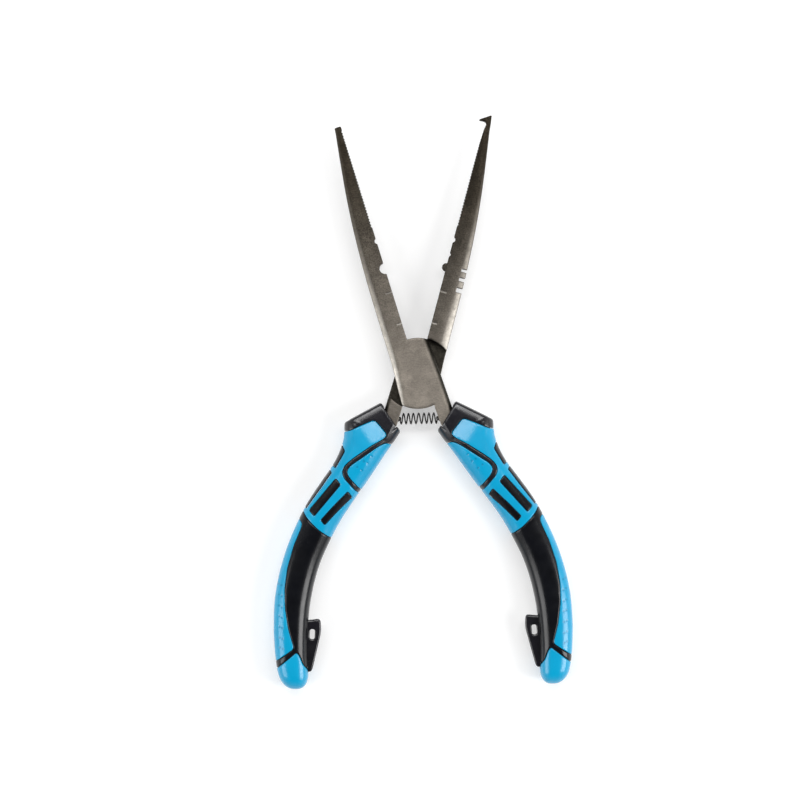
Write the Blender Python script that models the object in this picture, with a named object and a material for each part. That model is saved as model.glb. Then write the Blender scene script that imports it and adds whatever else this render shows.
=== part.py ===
"""Fishing pliers, lying flat and resting open.

Frame: the pivot's axis is Z, the jaws point to +Y and the handles to -Y. Z = 0 is the flat back
face of the joint and the front face is at Z = THICK. X = 0 is the centre line between the jaws.
Outlines are drawn in millimetres and become metres where a mesh is made. Both halves are drawn with
the jaw on -X and the handle on +X. The rear lever is then turned over about Y, and the rear half's grip
pieces are mirrored in X (side -1).
"""

from math import copysign, cos, pi, radians, sin

import bmesh
import bpy
from mathutils import Matrix, Vector

MM = 0.001  # metres in a millimetre

# Driving dimensions, in millimetres and degrees
THICK = 10.0  # joint and jaws, back face to front face
MID = THICK / 2  # the plane where the two lap halves meet
GAP = 0.3  # room left between neighbouring pieces
HALF_OPEN = radians(16.0)  # lean of each jaw from the centre line at rest
JAW_LENGTH = 108.6  # pivot to the front jaw's tip
JAW_WIDTH = 9.3  # jaw at its root
TIP_THICK = 4.6  # jaw thickness at the tip
TAPER_FROM = 24.0  # distance from the pivot where the jaw starts to thin
EDGE_GAP = 0.15  # each jaw's inner edge stays this far from the closing line
PLATE_R = 14.9  # round ends of the lap plates
SHOULDER_R = PLATE_R + GAP  # round shoulders that the other half's plate turns in
PLAY = 0.25  # room round the rivet and the spring pegs
RIVET_R = 3.5
RIVET_HEAD_R = 5.0
RIVET_HEAD = 1.4
RIVET_TOP = 8.0  # blind end of the rivet inside the front plate
TOOTH_PITCH = 1.26
TOOTH_DEPTH = 0.5
TEETH_FROM, TEETH_TO = 64.0, 107.0
SPRING_Y = -18.9
SPRING_R = 2.2  # centre of the wire
WIRE_R = 0.32
SPRING_TURNS = 7.5
SPRING_HALF = 7.7  # half of the spring's length
PEG_R = 1.3
PEG_HOLE_R = PEG_R + PLAY
PEG_FROM, PEG_TO = 6.4, 11.6  # ends of each peg, out from the centre line
GRIP_HALF = 7.5  # half thickness of the grips
GRIP_SIDES = 18
GRIP_SQUARENESS = 2.6  # 2 is an ellipse, more is boxier
SKIN = 1.5  # thickness of the soft and coloured grip pieces
INSERT_LOW, INSERT_HIGH = 2.0, 8.0  # thickness range of the tang inside the grip
LUG_HALF = 2.0  # half thickness of the lanyard lug


# ---------------------------------------------------------------- outlines


def spline(points, steps=3):
    """Catmull-Rom curve through the points, ends included."""
    out = []
    for i in range(len(points) - 1):
        p0, p1, p2, p3 = (Vector(points[max(0, min(len(points) - 1, i + k))]) for k in (-1, 0, 1, 2))
        for k in range(steps):
            t = k / steps
            a = 2 * p1
            b = (p2 - p0) * t
            c = (2 * p0 - 5 * p1 + 4 * p2 - p3) * t * t
            d = (3 * p1 - p0 - 3 * p2 + p3) * t**3
            out.append(tuple((a + b + c + d) / 2))
    return out + [tuple(points[-1])]


def arc(centre, radius, start, end, steps):
    """Points on a circle from one angle to the other, in degrees."""
    turn = [radians(start + (end - start) * k / steps) for k in range(steps + 1)]
    return [(centre[0] + radius * cos(a), centre[1] + radius * sin(a)) for a in turn]


def area(outline):
    pairs = zip(outline, outline[1:] + outline[:1])
    return sum(a[0] * b[1] - b[0] * a[1] for a, b in pairs) / 2


def grown(outline, by):
    """The outline moved outward by `by`, or inward where it is negative."""
    if area(outline) < 0:
        outline = outline[::-1]
    out = []
    for i, here in enumerate(outline):
        before = Vector(here) - Vector(outline[i - 1])
        after = Vector(outline[(i + 1) % len(outline)]) - Vector(here)
        n1 = Vector((before.y, -before.x)).normalized()
        n2 = Vector((after.y, -after.x)).normalized()
        miter = (n1 + n2) / max(0.5, 1 + n1.dot(n2))
        out.append((here[0] + miter.x * by, here[1] + miter.y * by))
    return out


def jaw(along, out):
    """A point given along the jaw from the pivot, and out from its inner edge."""
    x = along * sin(HALF_OPEN) + out * cos(HALF_OPEN)
    y = along * cos(HALF_OPEN) - out * sin(HALF_OPEN)
    return (-x, y)


# ---------------------------------------------------------------- solids


def new_object(name, bm):
    bmesh.ops.recalc_face_normals(bm, faces=bm.faces)
    mesh = bpy.data.meshes.new(name)
    bm.to_mesh(mesh)
    bm.free()
    obj = bpy.data.objects.new(name, mesh)
    bpy.context.scene.collection.objects.link(obj)
    return obj


def prism(name, outline, low, high):
    """The outline, in millimetres, as a solid between two heights."""
    bm = bmesh.new()
    face = bm.faces.new([bm.verts.new((x * MM, y * MM, low * MM)) for x, y in outline])
    top = bmesh.ops.extrude_face_region(bm, geom=[face])["geom"]
    lift = [v for v in top if isinstance(v, bmesh.types.BMVert)]
    bmesh.ops.translate(bm, verts=lift, vec=(0, 0, (high - low) * MM))
    return new_object(name, bm)


def loft(name, sections):
    """A solid through closed sections of equal point count, in millimetres."""
    bm = bmesh.new()
    rings = []
    for section in sections:
        verts = [bm.verts.new(Vector(p) * MM) for p in section]
        rings.append([bm.edges.new(pair) for pair in zip(verts, verts[1:] + verts[:1])])
    for near, far in zip(rings, rings[1:]):
        bmesh.ops.bridge_loops(bm, edges=near + far)
    bmesh.ops.holes_fill(bm, edges=rings[0] + rings[-1])
    return new_object(name, bm)


def turned(name, profile, steps=24):
    """A round solid about Z from (radius, height) points that start and end on the axis."""
    bm = bmesh.new()
    verts = [bm.verts.new((r * MM, 0, z * MM)) for r, z in profile]
    edges = [bm.edges.new(pair) for pair in zip(verts, verts[1:])]
    bmesh.ops.spin(
        bm, geom=verts + edges, cent=(0, 0, 0), axis=(0, 0, 1), angle=2 * pi, steps=steps
    )
    bmesh.ops.remove_doubles(bm, verts=bm.verts, dist=1e-6)
    return new_object(name, bm)


def rod(name, radius, start, end, steps=16):
    """A round bar between two points, in millimetres."""
    a, b = Vector(start), Vector(end)
    length = (b - a).length
    obj = turned(name, [(0, 0), (radius, 0), (radius, length), (0, length)], steps)
    turn = (b - a).to_track_quat("Z", "Y").to_matrix().to_4x4()
    obj.data.transform(Matrix.Translation(a * MM) @ turn)
    return obj


def combine(obj, other, operation):
    """Applies one Boolean to obj and removes the other solid."""
    step = obj.modifiers.new("combine", "BOOLEAN")
    step.operation = operation
    step.solver = "EXACT"
    step.object = other
    bpy.context.view_layer.update()
    result = bpy.data.meshes.new_from_object(
        obj.evaluated_get(bpy.context.evaluated_depsgraph_get())
    )
    obj.modifiers.clear()
    obj.data = result
    bpy.data.objects.remove(other)
    return obj


def cut(obj, other):
    return combine(obj, other, "DIFFERENCE")


def join(obj, other):
    return combine(obj, other, "UNION")


def keep(obj, other):
    return combine(obj, other, "INTERSECT")


def finished(obj, material, parent, smooth=35):
    """Gives a piece its material, its shading and the empty that it moves with."""
    obj.data.materials.clear()
    obj.data.materials.append(material)
    for face in obj.data.polygons:
        face.material_index = 0
    obj.data.shade_smooth()
    obj.data.set_sharp_from_angle(angle=radians(smooth))
    obj.parent = parent
    return obj


def material(name, colour, roughness, metallic):
    mat = bpy.data.materials.new(name)
    mat.use_nodes = True
    shader = mat.node_tree.nodes["Principled BSDF"]
    shader.inputs["Base Color"].default_value = (*colour, 1)
    shader.inputs["Roughness"].default_value = roughness
    shader.inputs["Metallic"].default_value = metallic
    mat.diffuse_color = (*colour, 1)
    return mat


# ---------------------------------------------------------------- levers

# Jaw width at distances from the pivot: the outer edge's gentle curve
OUTER_EDGE = [
    (8, JAW_WIDTH), (22, JAW_WIDTH), (38, 9.2), (52, 8.8), (66, 8.0), (80, 6.7), (94, 4.9), (106, 3.2),
]
CUTTER_FROM, CUTTER_TO = 22.3, 35.4  # side cutter along the jaws
CUTTER_WIDTH = 2.8
CUTTER_LAND = 0.5  # thickness of the cutting edge, flush with the tool's front face
PUNCH_AT = 46.1  # crimping punch on the rear jaw, and its notch in the front jaw
PUNCH_R, PUNCH_HALF = 1.7, 2.4
PUNCH_NOTCH_R = 2.3
# Strap slots in the rear jaw's outer edge: distance from the pivot, width
SLOTS = [(38.0, 1.95), (42.6, 1.5), (46.5, 1.25)]
SLOT_FLOOR = 6.7

TANG_OUTER = [(9.5, -0.3), (14.2, -14.8), (15.6, -19.2)]
TANG_INNER = [(11.2, -23.6), (9.3, -21.6), (6.9, -14.4)]


def tip_outline(hooked):
    """The end of a jaw, from its outer edge round to its inner edge."""
    if not hooked:
        corner = JAW_LENGTH - 0.4
        return [jaw(corner, 3.0), jaw(JAW_LENGTH, 2.7), jaw(JAW_LENGTH, 0.4), jaw(corner, EDGE_GAP)]
    hook = [(109.5, 2.9), (112.6, 2.5), (112.4, 1.9), (109.7, -2.2), (109.2, -2.1), (109.3, 0.0)]
    fillet = [(108.9, 0.9), (108.0, 1.1), (106.0, 0.7), (100.0, 0.35)]
    return [jaw(a, b) for a, b in hook + fillet]


def lever_outline(hooked):
    """Front view of one half: lap plate, tang, outer edge, tip and inner edge, in that order."""
    plate = arc((0, 0), PLATE_R, 106.6, 73.0, 5)
    bottom = arc((0, 0), PLATE_R, -63.5, -118.0, 6)
    outer = spline([jaw(a, b) for a, b in OUTER_EDGE], 2)
    tip = tip_outline(hooked) + [jaw(92, EDGE_GAP)]
    return plate + TANG_OUTER + TANG_INNER + bottom + [(-9.75, -0.6)] + outer + tip


def jaw_envelope():
    """Thins the jaw towards its tip and chamfers its outer rims. It is roomy round the joint."""
    sections = []
    for along, reach, half in [(-45, 45, 9), (8, 45, 9), (14, 16, 7)]:
        ring = [(-reach, -half), (reach - 3, -half), (reach, 1 - half)]
        ring += [(reach, half - 1), (reach - 3, half), (-reach, half)]
        sections.append([(*jaw(along, b), MID + z) for b, z in ring])
    widths = [(18, JAW_WIDTH), (24, JAW_WIDTH), (52, 8.8), (80, 6.7), (JAW_LENGTH, 3.0), (116, 1.8)]
    for along, width in widths:
        thin = max(0, along - TAPER_FROM) / (JAW_LENGTH - TAPER_FROM)
        half = MID + 0.02 - (THICK - TIP_THICK) / 2 * thin
        flat = width - 2.3 + 1.3 * thin
        rim = half - 1.6 + 0.8 * thin
        ring = [(-12, -half), (flat, -half), (width + 0.4, -rim)]
        ring += [(width + 0.4, rim), (flat, half), (-12, half)]
        sections.append([(*jaw(along, b), MID + z) for b, z in ring])
    return loft("envelope", sections)


def teeth_comb():
    """A comb of V-shaped grooves across a jaw's inner edge."""
    comb = [jaw(TEETH_TO, -3), jaw(TEETH_FROM, -3)]
    count = int((TEETH_TO - TEETH_FROM) / TOOTH_PITCH)
    for k in range(count):
        start = TEETH_FROM + k * TOOTH_PITCH
        comb += [jaw(start, EDGE_GAP - 0.05), jaw(start + TOOTH_PITCH / 2, TOOTH_DEPTH)]
    comb += [jaw(TEETH_FROM + count * TOOTH_PITCH, EDGE_GAP - 0.05)]
    return comb


def jaw_disc(along, out, radius, steps=20):
    return arc(jaw(along, out), radius, 0, 360 * (steps - 1) / steps, steps - 1)


def lever(name, hooked):
    """One forged half: jaw, lap plate and tang. The rear half has the hook and the punch."""
    blank = prism(name, lever_outline(hooked), 0, THICK)
    keep(blank, jaw_envelope())
    cut(blank, prism("teeth", teeth_comb(), -2, THICK + 2))
    notches = [(58.0, -0.2, 1.2)]
    if hooked:
        notches += [(51.6, 0.0, 0.7)]
    else:
        notches += [(PUNCH_AT, 0.1, PUNCH_NOTCH_R)]
    for along, out, radius in notches:
        cut(blank, prism("notch", jaw_disc(along, out, radius), -2, THICK + 2))
    wedge = []
    for along in (CUTTER_FROM, CUTTER_TO):
        ring = [(-3, CUTTER_LAND), (0, CUTTER_LAND), (CUTTER_WIDTH, THICK + 1), (-3, THICK + 1)]
        wedge.append([(*jaw(along, b), z if hooked else THICK - z) for b, z in ring])
    cut(blank, loft("bevel", wedge))
    if hooked:
        for along, width in SLOTS:
            a, b = along - width / 2, along + width / 2
            box = [jaw(a, SLOT_FLOOR), jaw(b, SLOT_FLOOR), jaw(b, 12), jaw(a, 12)]
            cut(blank, prism("slot", box, -2, THICK + 2))
        punch = jaw_disc(PUNCH_AT, 0.1, PUNCH_R)
        join(blank, prism("punch", punch, MID - PUNCH_HALF, MID + PUNCH_HALF))

    join(blank, prism("insert", INSERT, INSERT_LOW, INSERT_HIGH))
    lap = arc((0, 0), SHOULDER_R, 0, 352.5, 47)
    cut(blank, prism("lap", lap, -1, MID + EDGE_GAP))
    return blank


def spring():
    """The coil between the tangs, as a wire along X."""
    curve = bpy.data.curves.new("return_spring", "CURVE")
    curve.dimensions = "3D"
    curve.bevel_depth = WIRE_R * MM
    curve.bevel_resolution = 1
    curve.use_fill_caps = True
    steps = int(SPRING_TURNS * 10)
    line = curve.splines.new("POLY")
    line.points.add(steps)
    for k in range(steps + 1):
        turn = 2 * pi * SPRING_TURNS * k / steps + pi / 2
        x = SPRING_HALF * (2 * k / steps - 1)
        y = SPRING_Y + SPRING_R * cos(turn)
        z = MID + SPRING_R * sin(turn)
        line.points[k].co = (x * MM, y * MM, z * MM, 1)
    guide = bpy.data.objects.new("wire", curve)
    bpy.context.scene.collection.objects.link(guide)
    bpy.context.view_layer.update()
    mesh = bpy.data.meshes.new_from_object(
        guide.evaluated_get(bpy.context.evaluated_depsgraph_get())
    )
    bpy.data.objects.remove(guide)
    obj = bpy.data.objects.new("return_spring", mesh)
    bpy.context.scene.collection.objects.link(obj)
    return obj


# ---------------------------------------------------------------- grips, drawn on the +X side

# The grip's cross-sections: outer edge, inner edge, half thickness over GRIP_HALF
GRIP_STATIONS = [
    ((30.8, -19.7), (17.2, -12.9), 0.84), ((31.3, -21.4), (14.4, -15.5), 1.0),
    ((31.4, -24.2), (10.8, -20.1), 1.0), ((31.8, -27.6), (7.9, -24.6), 1.0),
    ((34.0, -33.0), (12.2, -30.6), 1.0), ((38.4, -40.0), (18.0, -38.9), 1.0),
    ((43.8, -48.0), (24.2, -47.4), 1.0), ((48.6, -55.5), (29.6, -55.0), 0.98),
    ((53.0, -64.0), (35.2, -63.6), 0.95), ((57.0, -73.6), (40.0, -72.8), 0.93),
    ((60.0, -83.0), (43.9, -82.2), 0.92), ((61.9, -92.4), (46.5, -92.0), 0.92),
    ((62.7, -102.0), (47.9, -102.0), 0.93), ((62.6, -111.0), (48.4, -111.0), 0.95),
    ((61.8, -119.0), (48.6, -119.0), 0.93), ((60.2, -125.4), (49.5, -125.0), 0.82),
    ((57.9, -129.2), (51.5, -129.0), 0.58), ((56.0, -130.9), (53.2, -130.9), 0.26),
]
INSERT = [
    (11.5, -19.0), (15.2, -19.0), (23.4, -31.0), (34.6, -47.0), (42.8, -60.5), (38.6, -62.5),
    (29.4, -48.6), (17.0, -31.0), (12.4, -24.0),
]
SLEEVE = [
    (36.0, -23.8), (31.0, -23.8), (28.2, -23.2), (25.6, -21.8), (19.2, -19.5), (17.9, -19.8),
    (13.8, -24.6), (13.6, -26.0), (14.6, -27.0), (20.0, -29.8), (27.6, -34.8), (31.2, -37.6),
    (32.7, -40.4), (31.9, -43.2), (26.6, -49.2), (22.0, -50.5), (32.0, -68.5), (38.8, -66.9),
    (42.6, -64.7), (46.2, -61.3), (48.2, -58.4), (48.8, -56.6), (53.0, -53.0), (40.0, -34.0),
]
FINGER_PANEL = [
    (8.0, -31.0), (12.4, -29.2), (14.4, -28.9), (17.4, -30.4), (25.2, -35.6), (29.0, -38.0),
    (30.5, -40.4), (29.6, -43.0), (25.0, -48.2), (20.0, -50.0),
]
BACK_STRIP = [
    (54.5, -58.5), (50.8, -60.0), (49.9, -61.6), (50.1, -63.2), (53.4, -71.0), (56.2, -80.0),
    (57.6, -89.0), (57.6, -97.0), (56.4, -106.0), (54.7, -113.2), (55.2, -114.4), (61.9, -119.2),
    (66.0, -119.5), (66.0, -96.0), (61.0, -72.0),
]
END_CAP = [
    (66.0, -124.8), (61.2, -122.0), (54.6, -116.6), (53.4, -116.0), (52.2, -117.2), (50.6, -121.2),
    (47.6, -124.6), (44.0, -127.0), (50.0, -136.0), (64.0, -136.0),
]
PANEL = [
    (58.0, -53.4), (52.0, -54.0), (46.0, -58.0), (38.0, -63.0), (30.0, -65.0),
    (40.0, -100.0), (42.0, -122.0), (50.0, -122.0), (56.0, -123.0), (70.0, -121.0), (66.0, -80.0),
]
RIBS = {
    "upper": [(35.1, -43.3), (33.4, -45.9), (44.6, -58.7), (46.5, -56.3)],
    "lower": [(30.3, -48.9), (28.8, -51.2), (40.3, -62.5), (41.8, -60.5), (36.6, -55.2)],
}
EDGE_INLAYS = {
    "upper": [(33.0, -28.0), (31.9, -30.6), (32.2, -32.8), (35.1, -38.5), (36.2, -37.9), (40.0, -34.0)],
    "lower": [(37.6, -39.4), (37.0, -40.8), (42.6, -48.4), (47.6, -55.2), (51.0, -53.0), (43.0, -37.0)],
}
LUG = [
    (52.0, -102.1), (47.0, -102.1), (44.8, -102.2), (43.4, -103.2), (43.1, -104.6), (43.3, -107.5),
    (46.9, -123.2), (47.6, -124.0), (52.0, -124.0),
]
LUG_SLOT = [(45.4, -106.5), (47.6, -106.3), (47.9, -110.5), (45.7, -110.7)]


def grip_body(inset=0.0):
    """The whole grip from collar to end, or the same body with a layer taken off all round."""
    sections = []
    last = len(GRIP_STATIONS) - 1
    for k, (outer, inner, thick) in enumerate(GRIP_STATIONS):
        outer, inner = Vector(outer), Vector(inner)
        across = (outer - inner).normalized()
        down = Vector((across.y, -across.x))
        middle = (outer + inner) / 2
        if k == 0:
            middle += down * inset
        if k == last:
            middle -= down * inset
        half = (outer - inner).length / 2
        width = max(half - inset, 0.3 * half)
        height = max(GRIP_HALF * thick - inset, 0.3 * GRIP_HALF * thick)
        ring = []
        for step in range(GRIP_SIDES):
            turn = 2 * pi * (step + 0.5) / GRIP_SIDES
            x = copysign(abs(cos(turn)) ** (2 / GRIP_SQUARENESS), cos(turn))
            z = copysign(abs(sin(turn)) ** (2 / GRIP_SQUARENESS), sin(turn))
            point = middle + across * width * x
            ring.append((point.x, point.y, MID + height * z))
        sections.append(ring)
    return loft("grip", sections)


def skin(name, side, zone, holes=(), low=-20, high=30):
    """A piece of the grip's skin: the body's outer layer inside a zone, less some holes."""
    piece = grip_body()
    keep(piece, prism("zone", zone, low, high))
    cut(piece, grip_body(SKIN))
    for hole in holes:
        cut(piece, hole)
    return mirrored(piece, name, side)


def mirrored(obj, name, side):
    """Names a solid drawn on the +X side and mirrors it for the rear half."""
    obj.name = name
    obj.data.name = name
    if side < 0:
        obj.data.transform(Matrix.Diagonal((-1, 1, 1, 1)))
        obj.data.flip_normals()
    return obj


def lug_room():
    """The space that the lug takes up in the skins it comes out between."""
    return prism("room", grown(LUG, GAP), MID - LUG_HALF - GAP, MID + LUG_HALF + GAP)


def core(name, side):
    """The hard body under the skins: collar, S-shaped band, lug and the tang's pocket."""
    shown = grip_body()
    for zone in (SLEEVE, FINGER_PANEL, BACK_STRIP, END_CAP, PANEL):
        cut(shown, prism("bed", grown(zone, GAP), -20, 30))
    body = grip_body(SKIN + GAP)
    join(body, shown)
    lug = prism("lug", LUG, MID - LUG_HALF, MID + LUG_HALF)
    cut(lug, prism("slot", LUG_SLOT, -20, 30))
    join(body, lug)
    tang = TANG_OUTER + TANG_INNER + [(6.0, -12.0), (13.0, -10.0)]
    cut(body, prism("mouth", grown(tang, GAP), -GAP, THICK + GAP))
    cut(body, prism("pocket", grown(INSERT, GAP), INSERT_LOW - GAP, INSERT_HIGH + GAP))
    return mirrored(body, name, side)


# ---------------------------------------------------------------- the pliers


def build():
    for obj in list(bpy.data.objects):
        bpy.data.objects.remove(obj)
    steel = material("brushed_steel", (0.20, 0.185, 0.165), 0.42, 1.0)
    spring_steel = material("spring_steel", (0.08, 0.075, 0.07), 0.35, 1.0)
    hard_black = material("hard_black_plastic", (0.035, 0.033, 0.045), 0.35, 0.0)
    soft_black = material("soft_black_rubber", (0.012, 0.013, 0.017), 0.6, 0.0)
    blue = material("blue_rubber", (0.012, 0.40, 0.68), 0.5, 0.0)

    halves = {}
    for name in ("front_half", "rear_half"):
        halves[name] = bpy.data.objects.new(name, None)
        bpy.context.scene.collection.objects.link(halves[name])
    front, rear = halves["front_half"], halves["rear_half"]

    front_lever = lever("front_lever", hooked=False)
    rear_lever = lever("rear_lever", hooked=True)
    turn_over = Matrix.Translation((0, 0, MID * MM)) @ Matrix.Rotation(pi, 4, "Y")
    rear_lever.data.transform(turn_over @ Matrix.Translation((0, 0, -MID * MM)))
    hole = RIVET_R + PLAY
    bore = [(0, 2), (hole, 2), (hole, RIVET_TOP + GAP), (0, RIVET_TOP + GAP)]
    cut(front_lever, turned("bore", bore))
    seat = RIVET_HEAD_R + PLAY
    bore = [(0, -1), (seat, -1), (seat, RIVET_HEAD + GAP), (hole, RIVET_HEAD + GAP), (hole, 7), (0, 7)]
    cut(rear_lever, turned("bore", bore))
    rivet = [(0, 0), (RIVET_HEAD_R, 0), (RIVET_HEAD_R, RIVET_HEAD), (RIVET_R, RIVET_HEAD)]
    rivet = turned("pivot_rivet", rivet + [(RIVET_R, RIVET_TOP), (0, RIVET_TOP)])

    pegs = []
    for side, label, plate in ((1, "right", front_lever), (-1, "left", rear_lever)):
        hole_ends = [(side * x, SPRING_Y, MID) for x in (PEG_FROM - 1, PEG_TO + GAP)]
        peg_ends = [(side * x, SPRING_Y, MID) for x in (PEG_FROM, PEG_TO)]
        cut(plate, rod("hole", PEG_HOLE_R, *hole_ends))
        pegs.append(rod("spring_peg_" + label, PEG_R, *peg_ends))

    finished(front_lever, steel, front)
    finished(rear_lever, steel, rear)
    finished(rivet, steel, front)
    finished(pegs[0], steel, front)
    finished(pegs[1], steel, rear)
    finished(spring(), spring_steel, front)

    for side, label, parent in ((1, "right", front), (-1, "left", rear)):
        finished(core("grip_core_" + label, side), hard_black, parent)
        holes = [prism("hole", grown(r, GAP), -20, 30) for r in RIBS.values()]
        holes += [prism("hole", grown(r, GAP), -20, 30) for r in EDGE_INLAYS.values()]
        finished(skin("grip_sleeve_" + label, side, SLEEVE, holes), blue, parent)
        finished(skin("finger_panel_" + label, side, FINGER_PANEL), blue, parent)
        finished(skin("back_strip_" + label, side, BACK_STRIP), blue, parent)
        finished(skin("end_cap_" + label, side, END_CAP, [lug_room()]), blue, parent)
        holes = [prism("hole", grown(z, GAP), -20, 30) for z in (SLEEVE, BACK_STRIP, END_CAP)]
        holes.append(lug_room())
        finished(skin("palm_panel_" + label, side, PANEL, holes), soft_black, parent)
        for place, outline in RIBS.items():
            for face, low, high in (("front", MID, 30), ("back", -20, MID)):
                name = f"{face}_{place}_rib_{label}"
                finished(skin(name, side, outline, (), low, high), soft_black, parent)
        for place, outline in EDGE_INLAYS.items():
            name = f"{place}_edge_inlay_{label}"
            finished(skin(name, side, outline), soft_black, parent)


build()
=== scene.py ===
"""Looks of the fishing pliers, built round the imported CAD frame.

The forged levers and the grips' mouldings are surfaces of distance fields. Each field is a body met
with the outlines of its features, with the edges rounded, and is sampled on a fine grid and skinned.
Shapes are drawn in millimetres for the front half, whose jaw is on -X and whose handle is on +X. The
rear lever is that shape turned over, and the rear half's grip is the front half's mirrored in X.
"""

from math import cos, pi, radians, sin

import bpy
import numpy as np
from mathutils import Matrix, Vector


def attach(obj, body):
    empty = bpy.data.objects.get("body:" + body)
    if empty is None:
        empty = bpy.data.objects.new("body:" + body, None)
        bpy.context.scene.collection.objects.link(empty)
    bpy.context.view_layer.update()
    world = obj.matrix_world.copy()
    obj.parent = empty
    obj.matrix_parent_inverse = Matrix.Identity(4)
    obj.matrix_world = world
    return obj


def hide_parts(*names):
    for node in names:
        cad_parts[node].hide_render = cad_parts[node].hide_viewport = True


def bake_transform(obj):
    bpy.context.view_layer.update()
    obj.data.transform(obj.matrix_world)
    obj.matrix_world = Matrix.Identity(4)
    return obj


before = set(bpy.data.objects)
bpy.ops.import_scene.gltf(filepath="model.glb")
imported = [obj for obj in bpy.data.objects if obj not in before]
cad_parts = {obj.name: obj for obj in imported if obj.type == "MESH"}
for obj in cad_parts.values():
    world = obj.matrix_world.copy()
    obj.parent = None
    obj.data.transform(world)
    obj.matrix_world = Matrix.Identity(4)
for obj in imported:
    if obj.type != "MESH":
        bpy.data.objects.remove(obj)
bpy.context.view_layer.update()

MM = 0.001
FRONT, REAR = "front_half", "rear_half"

# Sizes shared with the CAD, in millimetres and degrees
THICK = 10.0  # steel at the joint, from the back face at Z = 0
MID = THICK / 2  # the plane where the two lap plates meet
HALF_OPEN = radians(16.0)  # lean of each jaw at rest
JAW_LENGTH = 108.6
TIP_THICK = 4.6
TAPER_FROM = 24.0
EDGE_GAP = 0.15
PLATE_R = 14.9
SHOULDER_R = 15.2
RIVET_R, RIVET_TOP = 3.5, 8.0
RIVET_HEAD_R, RIVET_HEAD = 5.0, 1.4
PLAY = 0.25  # room round the rivet and the spring pegs
SPRING_Y = -18.9
PEG_R = 1.3
PEG_FROM, PEG_TO = 6.4, 11.6
INSERT_HALF = 3.0
GRIP_HALF = 7.5
LUG_HALF = 2.0
SKIN = 1.5
GAP = 0.3

# Sizes of the looks only, in millimetres
SEAM = 0.05  # each moulding stays this far inside its outline
FLOOR_Z, FLOOR_REACH = -2.6, 3000


# ---------------------------------------------------------------- curves and outlines


def spline(points, steps=6):
    """Catmull-Rom curve through the points, ends included."""
    p = np.array([points[0], *points, points[-1]], float)
    t = (np.arange(steps) / steps)[:, None]
    out = []
    for a, b, c, d in zip(p, p[1:], p[2:], p[3:]):
        even = 2 * b + (2 * a - 5 * b + 4 * c - d) * t**2
        out.append((even + (c - a) * t + (3 * b - a - 3 * c + d) * t**3) / 2)
    return np.concatenate(out + [p[-1:]])


def arc(centre, radius, start, end, steps):
    turn = np.radians(np.linspace(start, end, steps + 1))
    return np.stack([centre[0] + radius * np.cos(turn), centre[1] + radius * np.sin(turn)], 1)


def rounded(outline, radius, steps=4):
    """A closed outline with a curve at each corner, starting `radius` before it if there is room."""
    p = np.array(outline, float)
    t = np.linspace(0, 1, steps + 1)[:, None]
    out = []
    for before, here, after in zip(np.roll(p, 1, axis=0), p, np.roll(p, -1, axis=0)):
        back, on = before - here, after - here
        start = here + back * min(0.5, radius / np.hypot(*back))
        end = here + on * min(0.5, radius / np.hypot(*on))
        out.append(start * (1 - t) ** 2 + here * 2 * t * (1 - t) + end * t**2)
    return np.concatenate(out)


# ---------------------------------------------------------------- distance fields


class Grid:
    """Sample points in a box: x and y as plane arrays, and z as a column for the third axis."""

    def __init__(self, low, high, step):
        self.low, self.step = np.array(low, float), step
        sizes = np.ceil((np.array(high) - self.low) / step).astype(int) + 1
        axes = [self.low[k] + step * np.arange(sizes[k]) for k in range(3)]
        self.x, self.y = np.meshgrid(axes[0], axes[1], indexing="ij")
        self.z = axes[2][None, None, :]


def distance(x, y, line, closed):
    """Unsigned distance from each point of the plane to a line of points."""
    a = np.array(line, float)
    b = np.roll(a, -1, axis=0) if closed else a[1:]
    best = np.full(x.shape, 1e9)
    for (ax, ay), (bx, by) in zip(a, b):
        dx, dy = bx - ax, by - ay
        t = np.clip(((x - ax) * dx + (y - ay) * dy) / (dx * dx + dy * dy + 1e-12), 0, 1)
        np.minimum(best, (x - ax - t * dx) ** 2 + (y - ay - t * dy) ** 2, out=best)
    return np.sqrt(best)


def zone(x, y, outline):
    """Signed distance to a closed outline, negative inside."""
    inside = np.zeros(x.shape, bool)
    a = np.array(outline, float)
    for (ax, ay), (bx, by) in zip(a, np.roll(a, -1, axis=0)):
        if ay != by:
            inside ^= ((ay > y) != (by > y)) & (x < (bx - ax) * (y - ay) / (by - ay) + ax)
    d = distance(x, y, outline, True)
    return np.where(inside, -d, d)


def beside(x, y, line):
    """Signed distance to an open line that runs downwards, positive on its +X side."""
    a = np.array(line, float)
    at = np.interp(-y, -a[:, 1], a[:, 0])
    return np.sign(x - at) * distance(x, y, line, False)


def left_of(x, y, start, end):
    """Signed distance to a straight line, positive on the left of the way from start to end."""
    dx, dy = end[0] - start[0], end[1] - start[1]
    return (dx * (y - start[1]) - dy * (x - start[0])) / np.hypot(dx, dy)


def smooth_max(a, b, k):
    """The larger of two fields, with a fillet of about k where they meet."""
    h = np.clip(0.5 + 0.5 * (a - b) / k, 0, 1)
    return b + (a - b) * h + k * h * (1 - h)


def smooth_min(a, b, k):
    return -smooth_max(-a, -b, k)


def as_distance(field, step, floor=0.08):
    """Divides a field by its slope, so that it reads in millimetres near its surface."""
    slope = np.sqrt(sum(g * g for g in np.gradient(field, step)))
    return field / np.maximum(slope, floor)


# ---------------------------------------------------------------- meshes


def sample(field, at):
    """The field at fractional grid positions, between its samples."""
    base = np.clip(np.floor(at).astype(int), 0, np.array(field.shape) - 2)
    t = at - base
    total = 0
    for corner in np.indices((2, 2, 2)).reshape(3, -1).T:
        weight = np.prod(np.where(corner == 1, t, 1 - t), axis=1)
        total = total + weight * field[tuple((base + corner).T)]
    return total


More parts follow.
